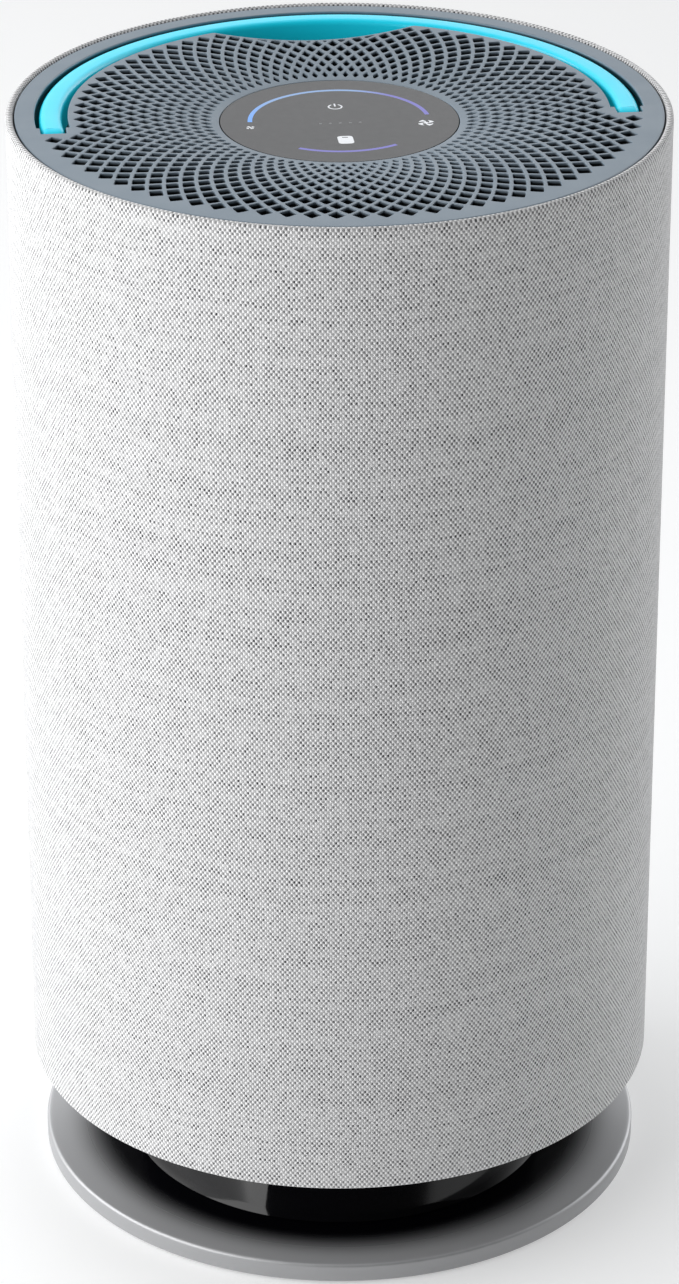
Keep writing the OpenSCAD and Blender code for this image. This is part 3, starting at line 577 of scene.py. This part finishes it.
VIOLET, BLUE, PALE = rgb(0.13, 0.12, 0.48), rgb(0.09, 0.34, 0.95), rgb(0.19, 0.34, 0.62)
SPEED_COLOURS = [(0.0, VIOLET), (0.28, VIOLET), (0.42, PALE), (0.75, PALE), (1.0, BLUE)]
MATERIALS = {
    "rubber": rubber("foot_rubber"),
    "grey_fabric": woven("sleeve_weave", rgb(0.88, 0.88, 0.885), rgb(0.02, 0.02, 0.025)),
    "slate_plastic": slate_deck("slate_moulding", rgb(0.200, 0.255, 0.310)),
    # The cyan moulding gets a painted glow (glow=0.14): it emits evenly, with no lamp inside.
    "cyan_plastic": moulded("cyan_moulding", rgb(0.008, 0.740, 0.970), 0.34, 3000.0, 0.008, 0.03,
                            coat=0.25, glow=0.14),
    "gloss_black": gloss_black("black_gloss"),
    "disc_metal": satin_disc("disc_paint_and_shade"),
    "black_plastic": moulded("black_moulding", rgb(0.012, 0.012, 0.013), 0.5),
    "socket_plastic": moulded("socket_moulding", rgb(0.010, 0.010, 0.010), 0.55),
    "cage_plastic": moulded("cage_moulding", rgb(0.68, 0.68, 0.66), 0.55),
    "cap_plastic": moulded("cap_moulding", rgb(0.055, 0.060, 0.065), 0.5),
    "filter_paper": paper("pleated_paper"),
    "carbon_mesh": granules("carbon_granules", rgb(0.020, 0.020, 0.021), 2.2),
    "seal_foam": granules("seal_cells", rgb(0.040, 0.040, 0.041), 0.5),
    "tab_fabric": ribbon("pull_ribbon", rgb(0.030, 0.42, 0.55)),
    "housing_plastic": moulded("housing_moulding", rgb(0.035, 0.037, 0.040), 0.55),
    "impeller_plastic": moulded("impeller_moulding", rgb(0.66, 0.67, 0.69), 0.4),
    "diffuser_plastic": moulded("diffuser_moulding", rgb(0.020, 0.020, 0.022), 0.5),
    "steel": metal("plated_steel", rgb(0.62, 0.62, 0.64)),
    "motor_metal": metal("motor_plate", rgb(0.25, 0.26, 0.28), 0.4),
    "winding_copper": windings("copper_windings"),
    "circuit_board": circuit("solder_mask"),
    "lead_black": sheath("black_sheath", rgb(0.02, 0.02, 0.02)),
    "lead_red": sheath("red_sheath", rgb(0.35, 0.02, 0.02)),
    "lead_white": sheath("white_sheath", rgb(0.70, 0.70, 0.70)),
    "light_guide": moulded("frosted_guide", rgb(0.78, 0.84, 0.90), 0.35),
    "smoked_lens": lens("smoked_window"),
    "speed_glow": glow("speed_colours", SPEED_COLOURS, 1.0),
    "filter_glow": glow("filter_colours", [(0.0, VIOLET), (1.0, VIOLET)], 1.0),
    "white_print": printed("lit_symbols"),
}


# ---- Pieces -----------------------------------------------------------

def dish(x, y):
    """Height of the cover's upper face."""
    fall = max(0.0, DISH_R - math.hypot(x, y)) / (DISH_R - LENS_R)
    return COVER_TOP - DISH_DROP * min(1.0, fall) ** 2


def slot_loop():
    """Outline of the handle's slot joined to the finger recess, anticlockwise."""
    ends = [math.asin(POCKET_Y / r) for r in (SLOT_OUT, SLOT_IN)]
    pocket_in = GRIP_IN - POCKET_GAP - 0.35
    pocket_out = GRIP_OUT - 0.35 + POCKET_GAP
    reach = SLOT_IN - RECESS_CORNER
    corner_y = (reach ** 2 - (RECESS_R + RECESS_CORNER) ** 2 + RECESS_Y ** 2) / (2 * RECESS_Y)
    corner_x = math.sqrt(reach ** 2 - corner_y ** 2)
    leave = math.atan2(corner_y, corner_x)
    enter = math.atan2(RECESS_Y - corner_y, corner_x)

    def turn(radius, start, end, centre=(0.0, 0.0), step=1.2):
        count = max(2, round(abs(end - start) * radius / step))
        angles = [start + (end - start) * i / count for i in range(count + 1)]
        return [(centre[0] + radius * math.cos(a), centre[1] + radius * math.sin(a)) for a in angles]

    loop = turn(SLOT_OUT, ends[0], math.pi - ends[0])
    loop += [(-pocket_out, POCKET_Y), (-pocket_out, SLOT_END_Y)]
    loop += [(-pocket_in, SLOT_END_Y), (-pocket_in, POCKET_Y)]
    loop += turn(SLOT_IN, math.pi - ends[1], math.pi - leave)
    loop += corner_turn(-1, corner_x, corner_y, leave, enter)
    loop += turn(RECESS_R, -math.pi + enter, -enter, (0.0, RECESS_Y))
    loop += corner_turn(1, corner_x, corner_y, leave, enter)
    loop += turn(SLOT_IN, leave, ends[1])
    loop += [(pocket_in, POCKET_Y), (pocket_in, SLOT_END_Y)]
    loop += [(pocket_out, SLOT_END_Y), (pocket_out, POCKET_Y)]
    return loop


def corner_turn(side, x, y, leave, enter, steps=6):
    """Rounded corner of the cover between the recess and the slot, on the left (-1) or right (1)."""
    start, end = math.pi - enter, leave
    if side > 0:
        return [(x + RECESS_CORNER * math.cos(a), y + RECESS_CORNER * math.sin(a))
                for a in (start + (end - start) * k / steps for k in range(1, steps))]
    return [(-px, py) for px, py in reversed(corner_turn(1, x, y, leave, enter, steps))]


def meets(points, loop):
    """Whether any of the points lies inside a closed loop."""
    pts = np.array(points)[:, None, :]
    a = np.array(loop)[None, :, :]
    b = np.roll(a, -1, axis=1)
    straddles = (a[..., 1] > pts[..., 1]) != (b[..., 1] > pts[..., 1])
    rise = np.where(straddles, b[..., 1] - a[..., 1], 1.0)
    x = a[..., 0] + (pts[..., 1] - a[..., 1]) * (b[..., 0] - a[..., 0]) / rise
    return bool((((straddles) & (x > pts[..., 0])).sum(axis=1) % 2 == 1).any())


def grille_holes():
    """Rounded diamond openings, clipped where the finger recess bites in."""
    step = 2 * math.pi / CELLS
    recess = Vector((0.0, RECESS_Y))
    keep_clear = spread_out(slot_loop(), 1.35)
    holes = []
    for row in range(ALL_ROWS):
        r = ROW_FIRST + row * ROW_PITCH
        for j in range(CELLS):
            a = (j + (row % 2) / 2) * step
            centre = Vector(polar(r, a))
            if row >= INNER_ROWS and centre.y > 0:
                continue
            corners = [polar(r + ROW_PITCH, a), polar(r, a + step / 2)]
            corners += [polar(r - ROW_PITCH, a), polar(r, a - step / 2)]
            hole = inset(corners, RIB / 2)
            away = (centre - recess).normalized()
            if (centre - recess).length < RECESS_R + 12:
                hole = clip(hole, recess + away * (RECESS_R + 1.5), away)
            if len(hole) > 2 and area(hole) > 1.6 and not meets(hole, keep_clear):
                holes.append(fillet(hole, HOLE_CORNER))
    return holes


def top_deck():
    """Cover with its dished lattice, handle slot, finger recess and skirt."""
    rim = [polar(COVER_R, 2 * math.pi * i / 240) for i in range(240)]
    eye = [polar(LENS_R + 0.35, 2 * math.pi * i / 160) for i in range(160)]
    body = plate(rim, [slot_loop(), eye, *grille_holes()], dish, COVER_T, 0.6, 0.35)
    skirt_out, skirt_in = COVER_R - 0.02, COVER_R - SKIRT_T
    skirt_low, joins = COVER_TOP - SKIRT_H, COVER_TOP - COVER_T + 0.2
    section = [(skirt_out, skirt_low), (skirt_out, joins), (skirt_in, joins), (skirt_in, skirt_low)]
    points, faces = merge(body, lathe(section, 240))
    slate = MATERIALS["slate_plastic"]
    piece = make_piece("deck", points, faces, slate, "body", ["top_cover"], 60)
    piece.modifiers.new("normals", "WEIGHTED_NORMAL").keep_sharp = True
    return piece


def section(width, low, high, radius, steps=5):
    """Rounded rectangle across the grip, as (outwards, z)."""
    radius = min(radius, width / 2 - 0.01, (high - low) / 2 - 0.01)
    out = []
    for cx, cz, start in ((1, 1, 0), (-1, 1, 90), (-1, -1, 180), (1, -1, 270)):
        x = cx * (width / 2 - radius)
        z = (high + low) / 2 + cz * ((high - low) / 2 - radius)
        out += arc(x, z, radius, start, start + 90, steps)
    return out


def grip():
    """C-shaped bail with rounded edges and a round nose at each hinge."""
    middle = (GRIP_IN + GRIP_OUT) / 2
    start = math.asin(HINGE_Y / middle)
    stations = []
    count = 150
    for i in range(count + 1):
        a = start + (math.pi - 2 * start) * i / count
        stations.append((Vector((*polar(middle, a), 0)), Vector((*polar(1, a), 0)), GRIP_LOW, GRIP_TOP, 2.4))
    nose = []
    for i in range(1, 10):
        reach = (BOSS_R - 0.02) * math.sin(math.radians(10 * i))
        half = math.sqrt(BOSS_R ** 2 - reach ** 2)
        nose.append((reach, HINGE_Z - half, HINGE_Z + half, min(2.4, 0.9 * half)))
    x = middle * math.cos(start)

    def end(side, reach, low, high, radius):
        return (Vector((side * x, HINGE_Y - reach, 0)), Vector((side, 0, 0)), low, high, radius)

    right = [end(1, *n) for n in reversed(nose)] + [end(1, 0.01, HINGE_Z - BOSS_R, GRIP_TOP, 2.4)]
    left = [end(-1, 0.01, HINGE_Z - BOSS_R, GRIP_TOP, 2.4)] + [end(-1, *n) for n in nose]
    points, rings = [], []
    for centre, outwards, low, high, radius in right + stations + left:
        ring = section(GRIP_W, low, high, radius)
        rings.append(range(len(points), len(points) + len(ring)))
        points += [tuple(centre + outwards * u + Vector((0, 0, z))) for u, z in ring]
    faces = [list(rings[0]), list(rings[-1])[::-1]]
    for a, b in zip(rings, rings[1:]):
        faces += [[a[i - 1], a[i], b[i], b[i - 1]] for i in range(len(a))]
    cyan = MATERIALS["cyan_plastic"]
    return make_piece("grip", points, faces, cyan, "grip", ["handle"], 50)


def sleeve_profile(outer, low, high, bezel_low, bezel_high, levels=90):
    """Profile of the tube from its lower edge to the end that is turned in over the top."""
    hem = 0.9
    straight = [low + hem + (high - LIP_R - low - hem) * i / levels for i in range(1, levels)]
    straight = [z for z in straight if min(abs(z - bezel_low), abs(z - bezel_high)) > 1.5]
    profile = [(SLEEVE_R - TURNED_UNDER, low + 0.35)] + arc(outer - hem, low + hem, hem, -90, 0, 4)
    profile += [(outer, z) for z in sorted(straight + [bezel_low, bezel_high])]
    profile += arc(outer - LIP_R, high - LIP_R, LIP_R, 0, 180, 10)
    return profile + [(outer - 2 * LIP_R, high - LIP_R - TURNED_IN)]


def sleeve_columns(half_cut, count=320, clearance=0.006):
    """Angles of the tube's columns, with one at each side of the cut-out."""
    angles = [2 * math.pi * i / count for i in range(count)]
    kept = {round(a, 6) for a in angles if abs(abs(a - math.pi / 2) - half_cut) > clearance}
    return sorted(kept | {round(math.pi / 2 - half_cut, 6), round(math.pi / 2 + half_cut, 6)})


def sleeve():
    """Stretched fabric tube, turned in over the cage at both ends and cut out round the inlet's bezel."""
    outer = SLEEVE_R - 0.05
    low, high = SLEEVE_BOTTOM + 0.1, SLEEVE_TOP - 0.02
    cut_in = 3
    bezel_low, bezel_high = BEZEL_LOW.z + cut_in, BEZEL_HIGH.z - cut_in
    half_cut = (BEZEL_HIGH.x - cut_in) / SLEEVE_R
    profile = sleeve_profile(outer, low, high, bezel_low, bezel_high)
    columns = sleeve_columns(half_cut)
    n = len(columns)
    points = [(*polar(r, a), z) for r, z in profile for a in columns]
    faces = []
    for k in range(len(profile) - 1):
        z = (profile[k][1] + profile[k + 1][1]) / 2
        on_wall = profile[k][0] > outer - 0.01 and profile[k + 1][0] > outer - 0.01
        for i in range(n):
            j = (i + 1) % n
            middle = columns[i] + (columns[j] - columns[i]) / 2
            if on_wall and bezel_low < z < bezel_high and abs(middle - math.pi / 2) < half_cut:
                continue
            faces.append([k * n + i, k * n + j, (k + 1) * n + j, (k + 1) * n + i])
    weave = MATERIALS["grey_fabric"]
    piece = make_piece("sleeve", points, faces, weave, "body", ["fabric_sleeve"], 60)
    shell = piece.modifiers.new("thickness", "SOLIDIFY")
    shell.thickness = CLOTH_T * MM
    shell.offset = -1.0
    return piece


def foot_plate():
    """Round plate with a softly dished top and a rounded rim."""
    floor, edge, lip = PEDESTAL_BOTTOM, 1.3, 2.4
    span = DISC_R - edge - PEDESTAL_R
    shares = [i / 30 for i in range(31)]
    top = [(PEDESTAL_R + span * s, floor + (DISC_TOP - floor) * s ** 1.6) for s in shares]
    rim = arc(DISC_R - edge, DISC_TOP - edge, edge, 84, 0, 7)
    rim += arc(DISC_R - 0.5, DISC_BOTTOM + 0.5, 0.5, 0, -90, 4)
    under = [(DISC_R - lip, DISC_BOTTOM), (DISC_R - lip, floor - 1.8), (0, floor - 1.8)]
    points, faces = lathe([(0, floor)] + top + rim + under, 256, closed=False)
    faces = [f[::-1] for f in faces]
    paint = MATERIALS["disc_metal"]
    return make_piece("foot_plate", points, faces, paint, "base", ["base_disc"], 35)


def waisted_drum():
    """Gloss drum that draws in from its foot, then rises upright to the filter door."""
    wall, foot = 2.4, 0.5
    rise = PEDESTAL_TOP - PEDESTAL_BOTTOM
    levels = [i / 24 for i in range(25)]
    waist = [14 * s if s < 0.5 else 7 + 3.5 * (1 - (2 - 2 * s) ** 2) for s in levels]
    outside = [(PEDESTAL_R - w, PEDESTAL_BOTTOM + rise * s) for s, w in zip(levels, waist)]
    inside = [(r - wall, z) for r, z in reversed(outside)]
    outside[:1] = [(PEDESTAL_R - foot, PEDESTAL_BOTTOM), (PEDESTAL_R, PEDESTAL_BOTTOM + 0.4)]
    points, faces = lathe(outside + inside, 256)
    black = MATERIALS["gloss_black"]
    return make_piece("pedestal_drum", points, faces, black, "base", ["pedestal"], 35)


# ---- Studio -----------------------------------------------------------

# Viewpoint: angles in degrees, and distances as multiples of the sleeve's radius
CAMERA_AZIMUTH, CAMERA_PITCH = -6.3, 26.054
CAMERA_AWAY, CAMERA_UP = 13.539, 8.3807
CAMERA_LENS = 133.8


def camera():
    """Camera at the photograph's viewing angle, aimed at the object's axis."""
    distance = CAMERA_AWAY * SLEEVE_R * MM
    height = CAMERA_UP * SLEEVE_R * MM + DISC_BOTTOM * MM
    azimuth, pitch = math.radians(CAMERA_AZIMUTH), math.radians(CAMERA_PITCH)
    data = bpy.data.cameras.new("camera")
    data.lens = CAMERA_LENS
    data.sensor_width = 36.0
    data.clip_end = 50.0
    item = bpy.data.objects.new("camera", data)
    item.location = (distance * math.sin(azimuth), -distance * math.cos(azimuth), height)
    item.rotation_euler = (math.pi / 2 - pitch, 0, azimuth)
    bpy.context.scene.collection.objects.link(item)
    bpy.context.scene.camera = item


def heading(azimuth, elevation):
    """Unit vector towards a place in the studio: azimuth 0 is the camera's side, 90 is to its right."""
    a, e = math.radians(azimuth + CAMERA_AZIMUTH), math.radians(elevation)
    return Vector((math.sin(a) * math.cos(e), -math.cos(a) * math.cos(e), math.sin(e)))


def soft_box(name, azimuth, elevation, distance, size, radiance):
    """A rectangular light that faces the object and isn't seen by the camera."""
    data = bpy.data.lights.new(name, "AREA")
    data.shape = "RECTANGLE"
    data.size, data.size_y = size
    data.energy = radiance * math.pi * size[0] * size[1]
    item = bpy.data.objects.new(name, data)
    away = heading(azimuth, elevation)
    item.location = away * distance + Vector((0, 0, 0.25))
    item.rotation_euler = away.to_track_quat("Z", "Y").to_euler()
    item.visible_camera = False
    bpy.context.scene.collection.objects.link(item)


def surroundings(base, lobes):
    """World light: an even base and wide soft lobes, each (azimuth, elevation, strength, narrowness)."""
    world = bpy.data.worlds.new("studio")
    bpy.context.scene.world = world
    world.use_nodes = True
    tree = world.node_tree
    way = tree.nodes.new("ShaderNodeTexCoord").outputs["Generated"]

    def calculate(operation, first, second):
        node = tree.nodes.new("ShaderNodeMath")
        node.operation = operation
        for socket, value in zip(node.inputs, (first, second)):
            if isinstance(value, bpy.types.NodeSocket):
                tree.links.new(value, socket)
            else:
                socket.default_value = value
        return node.outputs[0]

    total = base
    for azimuth, elevation, strength, narrowness in lobes:
        along = tree.nodes.new("ShaderNodeVectorMath")
        along.operation = "DOT_PRODUCT"
        tree.links.new(way, along.inputs[0])
        along.inputs[1].default_value = heading(azimuth, elevation)
        lobe = calculate("POWER", calculate("MAXIMUM", along.outputs["Value"], 0.0), narrowness)
        total = calculate("ADD", calculate("MULTIPLY", lobe, strength), total)
    tree.links.new(total, tree.nodes["Background"].inputs["Strength"])
    tree.nodes["Background"].inputs["Color"].default_value = (0.98, 0.99, 1.0, 1.0)


def studio():
    """Pale floor, a large soft box on the left, and white surroundings behind and to the right."""
    surroundings(0.02, [(180, 35, 1.2, 2), (124, 8, 2.9, 9)])
    soft_box("left_box", -77, 18, 1.8, (3.2, 2.2), 3.3)
    half = 12.0
    floor_mesh = bpy.data.meshes.new("floor")
    corners = [(-half, -half, 0), (half, -half, 0), (half, half, 0), (-half, half, 0)]
    floor_mesh.from_pydata(corners, [], [[0, 1, 2, 3]])
    g = Graph("pale_floor")
    g.set(Base_Color=g.mix(g.noise(1.5), rgb(0.66, 0.665, 0.67), rgb(0.69, 0.695, 0.70)), Roughness=0.8)
    g.set(Emission_Color=rgb(1.0, 1.0, 1.0), Emission_Strength=0.36)
    floor_mesh.materials.append(g.material)
    floor = bpy.data.objects.new("floor", floor_mesh)
    bpy.context.scene.collection.objects.link(floor)
    bpy.context.scene.view_settings.view_transform = "Standard"


def dress_nodes():
    """Gives every CAD node its slot's material."""
    for part in frame["record"]["subparts"]:
        mesh = frame["nodes"][part["node"]].data
        mesh.materials.clear()
        mesh.materials.append(MATERIALS[part["material_slot"]])


camera()
dress_nodes()
top_deck()
grip()
sleeve()
foot_plate()
waisted_drum()
studio()
